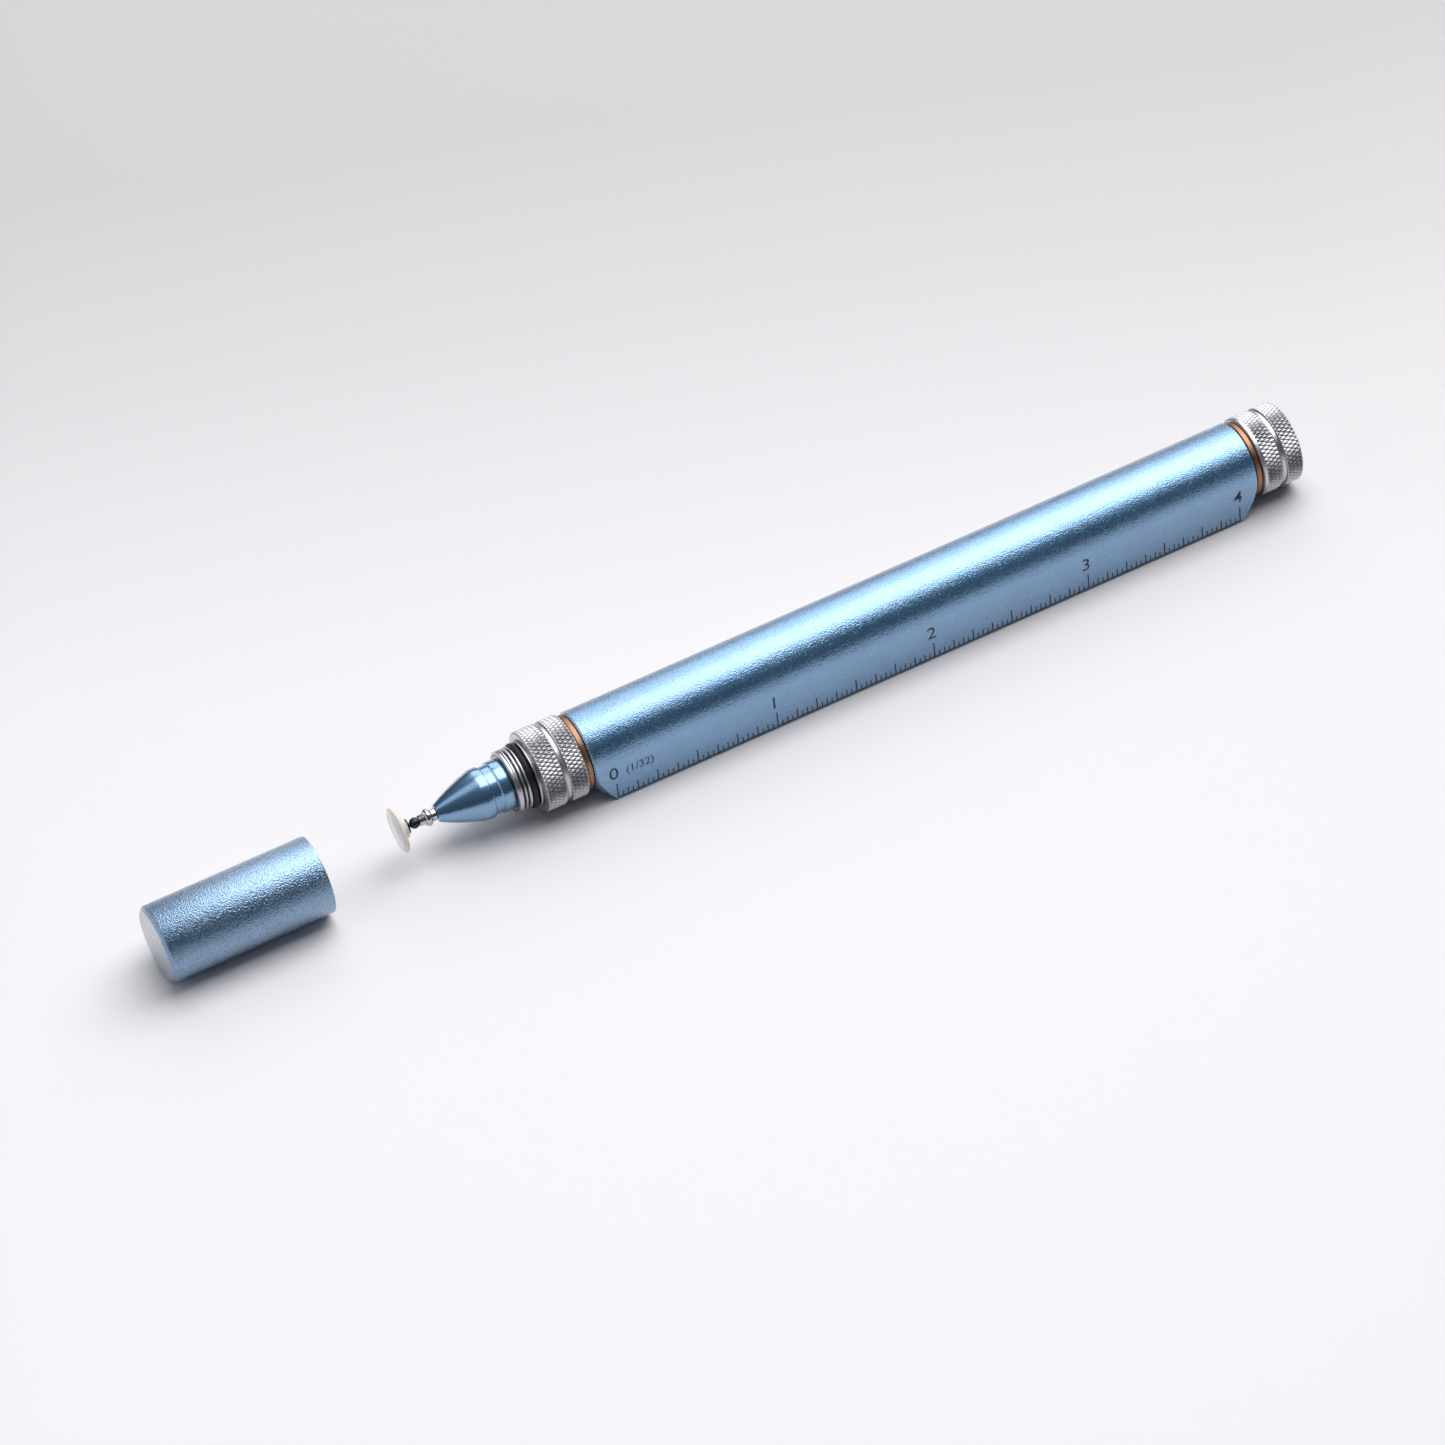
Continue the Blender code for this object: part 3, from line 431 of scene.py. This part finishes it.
def numeral(text, height, x, z, name):
    """Set text on the flat side, centred at x, with its base line at z."""
    curve = bpy.data.curves.new(name, "FONT")
    curve.body = text
    curve.size = height * MM / CAPITAL_SHARE
    curve.extrude = 0.015 * MM
    curve.offset = 0.01 * MM
    curve.align_x = "CENTER"
    curve.resolution_u = 4
    obj = bpy.data.objects.new(name, curve)
    bpy.context.scene.collection.objects.link(obj)
    mesh = evaluated_mesh(obj)
    bpy.data.objects.remove(obj)
    upright = Matrix.Rotation(math.pi / 2, 4, "X")
    mesh.transform(Matrix.Translation((x * MM, (-CROWN + INK_PROUD) * MM, z * MM)) @ upright)
    put(name, mesh, ink, "barrel_body", centre=(0.0, 0.0))


for inch in range(INCHES + 1):
    numeral(str(inch), 2.15, TICK_ZERO + inch * INCH - 0.2, FLAT_LOW + 3.6, f"scale_number_{inch}")
numeral("(1/32)", 1.3, TICK_ZERO + 3.9, FLAT_LOW + 3.8, "scale_step_note")


# Turned pieces. Profiles hold (station, radius) points in millimetres, and stations count from an end
# face of the barrel: above zero inside the barrel, below zero outside it.
def turned(name, profile, steps, place, material, body, slot, nodes, closed=False, radius_at=None,
           centre=(0.0, AXIS_HEIGHT)):
    mesh = lathe_mesh(name, placed(profile, place), steps, closed, radius_at)
    put(name, mesh, material, body, nodes, centre)


WASHER = [(-0.12, 4.25), (-0.12, 5.54), (-0.2, 5.62), (-0.8, 5.62), (-0.88, 5.54), (-0.88, 4.25)]
for side, place in (("front", front_at), ("rear", rear_at)):
    turned(f"{side}_washer_ring", WASHER, 160, place, copper, f"{side}_washer_body", "copper",
           [f"{side}_washer"], closed=True)

# Knurled collars: diamonds from two crossing sets of helical grooves, on two bands with lands between.
# A thread is (low station, high station, crest radius, root radius, pitch).
KNURLS = 60
KNURL_COLUMN = 0.62
KNURL_DEPTH = 0.17
KNURL_WIDTH = 0.40
GRIP = 6.08
GRIP_INSET = 0.03
LAND = 6.0
FACE = -7.6
BAND_ROWS = 20
BAND_EDGE = 0.02
FRONT_BANDS = ((-1.2, -3.65), (-4.55, -7.42))
REAR_BANDS = ((-1.6, -4.05), (-4.95, -7.4))
COLLAR_STEPS = KNURLS * 8
SPIGOT_THREAD = (0.1, 3.0, 4.1, 3.82, 0.8)
NIPPLE_THREAD = (-10.75, -9.45, 4.65, 4.12, 0.6)
CLOSE = 1e-6


def knurl_drop(along, angle):
    """Depth of the grooves at a station and an angle."""
    turns = angle * KNURLS / TAU
    slant = along / (2 * KNURL_COLUMN)
    nearest = min(abs(phase - round(phase)) for phase in (turns + slant, turns - slant))
    return KNURL_DEPTH * max(0.0, 1.0 - nearest / KNURL_WIDTH)


def band_rows(band):
    return [(station, GRIP) for station in spread(*band, BAND_ROWS)]


def grip_profile(bands):
    first, second = bands
    middle = (first[1] + second[0]) / 2
    run_out = FACE - second[1]
    return ([(-1.0, 5.78), (-1.04, 5.88), (-1.14, 5.98), (first[0] + 0.01, LAND)] + band_rows(first) +
            [(first[1] - 0.03, 5.98), (first[1] - 0.13, 5.84), (middle + 0.2, 5.79), (middle - 0.2, 5.79),
             (second[0] + 0.13, 5.84), (second[0] + 0.03, 5.98)] + band_rows(second) +
            [(second[1] + run_out * 0.1, LAND), (second[1] + run_out * 0.5, 5.93),
             (second[1] + run_out * 0.85, 5.8), (FACE, 5.68)])


def thread_ridge(along, angle, pitch):
    """Rounded ridge of a helical thread, from 0 at the root to 1 at the crest."""
    phase = (along / pitch + angle / TAU) % 1.0
    ridge = max(0.0, min(1.0, (1.0 - abs(2.0 * phase - 1.0) - 0.2) / 0.5))
    return ridge * ridge * (3 - 2 * ridge)


def collar_shape(station_of, bands, threads):
    """Radius function that cuts the knurl into the bands and winds the threads."""
    def shape(x, angle, radius):
        along = station_of(x)
        for start, end in bands:
            if end - CLOSE <= along <= start + CLOSE and radius == GRIP:
                share = 1.0 if min(start - along, along - end) > BAND_EDGE else 0.6
                return radius - GRIP_INSET - knurl_drop(along, angle) * share
        for low, high, crest, root, pitch in threads:
            if low - CLOSE <= along <= high + CLOSE and abs(radius - crest) < CLOSE:
                return root + (crest - root) * thread_ridge(along, angle, pitch)
        return radius
    return shape


SPIGOT = [(5.0, 3.8), (4.7, 4.1), (4.15, 4.1), (4.15, 3.72), (3.45, 3.72), (3.45, 4.0), (3.4, 4.1),
          (3.0, 4.05)]
SPIGOT += [(station, 4.1) for station in spread(2.9, 0.2, 36)]
SPIGOT += [(0.05, 3.8), (-1.0, 3.8)]
NIPPLE = [(FACE, 4.5), (-7.85, 4.5), (-7.85, 4.9), (-7.88, 4.98), (-7.92, 5.0), (-8.04, 5.0),
          (-8.08, 4.98), (-8.1, 4.9), (-8.1, 3.85), (-9.2, 3.85), (-9.2, 4.5), (-9.26, 4.63),
          (-9.4, 4.66)]
NIPPLE += [(station, 4.65) for station in spread(-9.46, -10.74, 26)]
NIPPLE += [(-10.76, 4.64), (-11.0, 4.64), (-11.14, 4.58), (-11.2, 4.42), (-11.2, 3.3)]
front_profile = [(5.0, 3.3)] + SPIGOT + grip_profile(FRONT_BANDS) + NIPPLE
rear_profile = [(-5.6, 0), (-5.6, 3.3), (5.0, 3.3)] + SPIGOT + grip_profile(REAR_BANDS) + [(FACE, 0)]
turned("front_collar_turned", front_profile, COLLAR_STEPS, front_at, silver, "front_collar_body",
       "collar_steel", ["front_collar"], closed=True,
       radius_at=collar_shape(lambda x: x - FRONT, FRONT_BANDS, (SPIGOT_THREAD, NIPPLE_THREAD)))
turned("rear_collar_turned", rear_profile, COLLAR_STEPS, rear_at, silver, "rear_collar_body",
       "collar_steel", ["rear_collar"],
       radius_at=collar_shape(lambda x: REAR - x, REAR_BANDS, (SPIGOT_THREAD,)))


# O-rings
def o_ring(name, station, centre_radius, cord, place, body, node_name):
    profile = []
    for angle in spread(0.0, TAU, 24)[:-1]:
        profile.append((station + cord * math.sin(angle), centre_radius + cord * math.cos(angle)))
    turned(name, profile, 128, place, dark_seal, body, "black_rubber", [node_name], closed=True)


o_ring("cap_seal_ring", -8.65, 4.42, 0.46, front_at, "front_collar_body", "cap_seal")
o_ring("front_seal_ring", 3.8, 4.05, 0.25, front_at, "front_collar_body", "front_seal")
o_ring("rear_seal_ring", 3.8, 4.05, 0.25, rear_at, "rear_collar_body", "rear_seal")
o_ring("nose_seal_ring", -8.35, 2.95, 0.25, front_at, "nose_body", "nose_seal")

# Nose: spigot, two turned bands and a cone that swells a little
NOSE_RADIUS = 3.8
TIP_RADIUS = 1.19
CONE_START = -15.2
CONE_LENGTH = 6.83
CONE_ROWS = 24
nose_profile = [(-20.53, 0), (-20.53, 0.8), (-17.13, 1.7), (-7.15, 1.7), (-7.15, 2.7), (-7.45, 3.0),
                (-8.0, 3.0), (-8.0, 2.62), (-8.7, 2.62), (-8.7, 3.0), (-11.35, 3.0), (-11.35, 3.66),
                (-11.39, 3.76), (-11.5, 3.8), (-12.82, 3.8), (-12.9, 3.77), (-13.02, 3.6), (-13.1, 3.545),
                (-13.3, 3.54), (-14.0, 3.54), (-14.2, 3.545), (-14.28, 3.6), (-14.4, 3.77), (-14.48, 3.8),
                (-14.8, 3.8), (-15.15, 3.8), (CONE_START, 3.795)]
for index in range(1, CONE_ROWS):
    share = index / CONE_ROWS
    swell = 0.28 * math.sin(math.pi * share) ** 0.6
    nose_profile.append((CONE_START - CONE_LENGTH * share,
                         NOSE_RADIUS + (TIP_RADIUS - NOSE_RADIUS) * share + swell))
nose_profile += [(-22.0, 1.22), (-22.03, 1.14), (-22.03, 0.7), (-20.98, 0.7), (-20.98, 0)]
turned("nose_turned", nose_profile, 144, front_at, blue_turned, "nose_body", "barrel_blue", ["nose_cone"])

# Stylus: stem with a bead and a cupped end, ball, ribbed hub, clear disc
BALL_STATION = -25.3
BALL_RADIUS = 0.8
CUP_RADIUS = 0.85
CUP_MOUTH = math.asin(0.6 / CUP_RADIUS)
BALL_ROWS = 32
stem_profile = [(-21.13, 0), (-21.13, 0.55), (-22.1, 0.55), (-22.1, 0.8), (-22.14, 0.85), (-22.7, 0.86),
                (-22.8, 0.9)]
for index in range(1, 16):
    share = index / 16
    stem_profile.append((-22.8 - 1.1 * share, 0.88 + 0.39 * math.sin(math.pi * share) ** 0.8))
stem_profile += [(-23.9, 0.84), (-24.0, 0.79), (-24.62, 0.79), (-24.69, 0.75), (-24.7, 0.61)]
for index in range(1, 8):
    angle = CUP_MOUTH + (math.pi / 2 - CUP_MOUTH) * index / 8
    stem_profile.append((BALL_STATION + CUP_RADIUS * math.sin(angle), CUP_RADIUS * math.cos(angle)))
stem_profile.append((BALL_STATION + CUP_RADIUS, 0))
turned("stem_turned", stem_profile, 96, front_at, chrome, "nose_body", "chrome", ["stylus_stem"])

ball_profile = [(BALL_STATION + BALL_RADIUS, 0)]
for index in range(1, BALL_ROWS):
    angle = math.pi * index / BALL_ROWS
    ball_profile.append((BALL_STATION + BALL_RADIUS * math.cos(angle), BALL_RADIUS * math.sin(angle)))
ball_profile.append((BALL_STATION - BALL_RADIUS, 0))
turned("joint_ball", ball_profile, 64, front_at, black_gloss, "stylus_ball_body", "black_plastic",
       ["stylus_ball"])

hub_profile = [(-26.15, 0), (-26.15, 0.23), (-26.27, 0.24), (-26.3, 0.3), (-26.31, 0.98), (-26.35, 1.07)]
for rib in (-26.35, -26.75):
    hub_profile += [(rib - 0.2, 1.07), (rib - 0.24, 1.04), (rib - 0.26, 0.92), (rib - 0.34, 0.92),
                    (rib - 0.37, 1.04), (rib - 0.4, 1.07)]
hub_profile += [(-27.48, 1.07), (-27.5, 1.04), (-27.5, 0)]
turned("hub_turned", hub_profile, 96, front_at, black_gloss, "stylus_disc_body", "black_plastic",
       ["stylus_hub"])

# The disc's rim shows a pale peach tint
RIM_FROM, RIM_FULL = 2.9, 3.2
clear, clear_tree, clear_shader = new_material("disc_clear")
haze = noise(clear_tree, object_coords(clear_tree), 900.0, 3.0)
rim = remap(clear_tree, distance_to_axis(clear_tree), 0.0, 1.0, RIM_FROM, RIM_FULL)
clear_tree.links.new(mix_colours(clear_tree, rim, (0.97, 0.97, 0.98), (1.0, 0.83, 0.70)),
                     clear_shader.inputs["Base Color"])
clear_tree.links.new(remap(clear_tree, haze, 0.02, 0.10), clear_shader.inputs["Roughness"])
clear_tree.links.new(remap(clear_tree, rim, 0.45, 0.20), clear_shader.inputs["Transmission Weight"])
set_values(clear_shader, IOR=1.25)
disc_profile = [(-27.6, 0), (-27.6, 1.17), (-26.72, 1.17), (-26.7, 1.2), (-26.7, 1.47), (-26.72, 1.5),
                (-27.55, 1.5), (-27.6, 1.56), (-27.6, 3.24), (-27.63, 3.31), (-27.7, 3.33), (-27.9, 3.33),
                (-27.97, 3.31), (-28.0, 3.24), (-28.0, 0)]
turned("disc_clear_turned", disc_profile, 144, front_at, clear, "stylus_disc_body", "clear_plastic",
       ["stylus_disc"])

# Cap: its own axis lies parallel to the pen, a little nearer and lower
CAP_CENTRE = (-1.07, 5.7)
CAP_THREAD = 5.0
CAP_THREAD_ROOT = 5.2
CAP_THREAD_DEPTH = 0.22
CAP_THREAD_PITCH = 0.98
cap_profile = [(-63.3, 0), (-63.3, 4.4), (-63.2, 4.6), (-62.9, 4.75), (-45.2, 4.75)]
cap_profile += [(station, CAP_THREAD) for station in spread(-44.8, -41.6, 60)]
cap_profile += [(-41.5, 5.2), (-40.82, 5.2), (-40.72, 5.26), (-40.7, 5.32), (-40.7, 5.56),
                (-40.74, 5.66), (-40.84, 5.7), (-64.66, 5.7), (-64.74, 5.66), (-65.24, 5.16),
                (CAP_END, 5.08), (CAP_END, 0)]


def cap_shape(x, angle, radius):
    """Radius function that winds the thread inside the mouth."""
    if radius == CAP_THREAD:
        return CAP_THREAD_ROOT - CAP_THREAD_DEPTH * thread_ridge(x - FRONT, angle, CAP_THREAD_PITCH)
    return radius


turned("cap_turned", cap_profile, 160, front_at, blue_cap, "cap_body", "barrel_blue", ["cap_shell"],
       radius_at=cap_shape, centre=CAP_CENTRE)

# Inner pieces keep their solids and get their own looks
inner_looks = {
    "refill_bush": rubber("bush_plastic", (0.62, 0.62, 0.60), 0.5),
    "refill_tube": metal("refill_tube_metal", (0.62, 0.63, 0.65), 0.3),
    "refill_point": metal("refill_point_brass", (0.60, 0.47, 0.25), 0.28),
    "writing_ball": metal("writing_ball_carbide", (0.45, 0.45, 0.47), 0.15),
    "refill_plug": rubber("plug_plastic", (0.02, 0.05, 0.28), 0.4),
    "bit_holder": metal("holder_steel", (0.55, 0.55, 0.57), 0.32),
    "bit_magnet": metal("magnet_nickel", (0.66, 0.65, 0.63), 0.2),
    "driver_bit": metal("driver_bit_steel", (0.45, 0.45, 0.46), 0.3, wear=0.1),
}
for name, look in inner_looks.items():
    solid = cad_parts[name]
    solid.data.materials.clear()
    solid.data.materials.append(look)

# Pale floor with painted light. Its tone follows the photograph's background: (depth in millimetres,
# tone) along the view, painted darker toward the back where the light falls off, and evened out from side
# to side with painted light. The directions are in millimetres for each metre of floor.
DEPTH_AXIS = (389.0, 921.0, 0.0)
SIDE_AXIS = (921.0, -389.0, 0.0)
FLOOR_TONES_AND_PAINTED_FALLOFF = ((-150.0, 0.80), (-68.0, 0.735), (4.0, 0.675), (52.0, 0.585), (77.0, 0.53), (128.0, 0.455))
FLOOR_TINT = (1.018, 0.991, 1.013)
floor_bm = bmesh.new()
bmesh.ops.create_grid(floor_bm, x_segments=1, y_segments=1, size=1.5)
floor_mesh = bpy.data.meshes.new("floor")
floor_bm.to_mesh(floor_mesh)
floor_bm.free()
floor = bpy.data.objects.new("floor", floor_mesh)
bpy.context.scene.collection.objects.link(floor)
floor_look, floor_tree, floor_shader = new_material("floor_pale")
floor_coords = object_coords(floor_tree)
floor_depth = vector_math(floor_tree, "DOT_PRODUCT", floor_coords, DEPTH_AXIS).outputs["Value"]
floor_side = vector_math(floor_tree, "DOT_PRODUCT", floor_coords, SIDE_AXIS).outputs["Value"]
nearest, farthest = FLOOR_TONES_AND_PAINTED_FALLOFF[0][0], FLOOR_TONES_AND_PAINTED_FALLOFF[-1][0]
floor_ramp = node(floor_tree, "ShaderNodeValToRGB", {
    "Fac": remap(floor_tree, floor_depth, 0.0, 1.0, nearest, farthest)})
while len(floor_ramp.color_ramp.elements) < len(FLOOR_TONES_AND_PAINTED_FALLOFF):
    floor_ramp.color_ramp.elements.new(1.0)
for entry, (depth, tone) in zip(floor_ramp.color_ramp.elements, FLOOR_TONES_AND_PAINTED_FALLOFF):
    entry.position = (depth - nearest) / (farthest - nearest)
    entry.color = (*(tone * share for share in FLOOR_TINT), 1.0)
# Painted light: paler toward the left and darker toward the right, to even out the lamps
painted_side_light = remap(floor_tree, floor_side, 1.075, 0.95, -125.0, 67.0)
floor_colour = vector_math(floor_tree, "MULTIPLY", floor_ramp.outputs["Color"], painted_side_light)
floor_tree.links.new(floor_colour.outputs["Vector"], floor_shader.inputs["Base Color"])
set_values(floor_shader, Roughness=0.6, Specular_IOR_Level=0.2)
floor_mesh.materials.append(floor_look)


# Soft light from above, behind and the left, in metres and watts
def softbox(name, location, target, size, power):
    light = bpy.data.lights.new(name, "AREA")
    light.shape = "RECTANGLE"
    light.size, light.size_y = size
    light.energy = power
    lamp = bpy.data.objects.new(name, light)
    bpy.context.scene.collection.objects.link(lamp)
    lamp.location = location
    lamp.rotation_euler = (Vector(target) - Vector(location)).to_track_quat("-Z", "Y").to_euler()


softbox("overhead_box", (0.41, 0.06, 0.60), (0.41, 0.06, 0.0), (1.1, 0.56), 6.9)
softbox("back_box", (0.40, 0.58, 0.52), (0.08, 0.0, 0.0), (1.2, 0.6), 4.1)
softbox("left_box", (-0.85, 0.25, 0.25), (-0.08, 0.0, 0.0), (1.2, 0.4), 2.1)
softbox("front_top_box", (-0.42, 0.12, 0.60), (-0.30, 0.06, 0.0), (0.34, 0.5), 0.45)

# Dark room with a slightly lighter ceiling, so that the metal's reflections have depth
world = bpy.data.worlds.new("studio")
bpy.context.scene.world = world
world.use_nodes = True
sky = world.node_tree
direction = node(sky, "ShaderNodeTexCoord").outputs["Generated"]
height = node(sky, "ShaderNodeSeparateXYZ", {0: direction}).outputs["Z"]
ceiling = remap(sky, height, 0.0, 1.0, 0.1, 0.9)
shade = mix_colours(sky, ceiling, (0.035, 0.045, 0.055), (0.13, 0.15, 0.17))
sky.links.new(shade, sky.nodes["Background"].inputs["Color"])
sky.nodes["Background"].inputs["Strength"].default_value = 1.0

# Camera at the photograph's view, as fitted to the scale's ticks and the outlines
FOCAL_PIXELS = 5686.4
IMAGE_PIXELS = 1445
SENSOR = 36.0
AZIMUTH, ELEVATION, ROLL = math.radians(22.907), math.radians(43.591), math.radians(-7.656)
DISTANCE = 792.15
target = Vector((-34.18, -6.304, AXIS_HEIGHT)) * MM
forward = Vector((math.sin(AZIMUTH) * math.cos(ELEVATION), math.cos(AZIMUTH) * math.cos(ELEVATION),
                  -math.sin(ELEVATION)))
level = Vector((math.cos(AZIMUTH), -math.sin(AZIMUTH), 0.0))
upright = level.cross(forward)
right = math.cos(ROLL) * level + math.sin(ROLL) * upright
top = -math.sin(ROLL) * level + math.cos(ROLL) * upright
position = target - forward * DISTANCE * MM
camera_data = bpy.data.cameras.new("camera")
camera_data.sensor_width = SENSOR
camera_data.lens = FOCAL_PIXELS / IMAGE_PIXELS * SENSOR
camera_data.clip_start = 0.05
camera = bpy.data.objects.new("camera", camera_data)
bpy.context.scene.collection.objects.link(camera)
camera.matrix_world = Matrix((
    (right.x, top.x, -forward.x, position.x), (right.y, top.y, -forward.y, position.y),
    (right.z, top.z, -forward.z, position.z), (0.0, 0.0, 0.0, 1.0)))
bpy.context.scene.camera = camera

bpy.context.scene.view_settings.view_transform = "Standard"
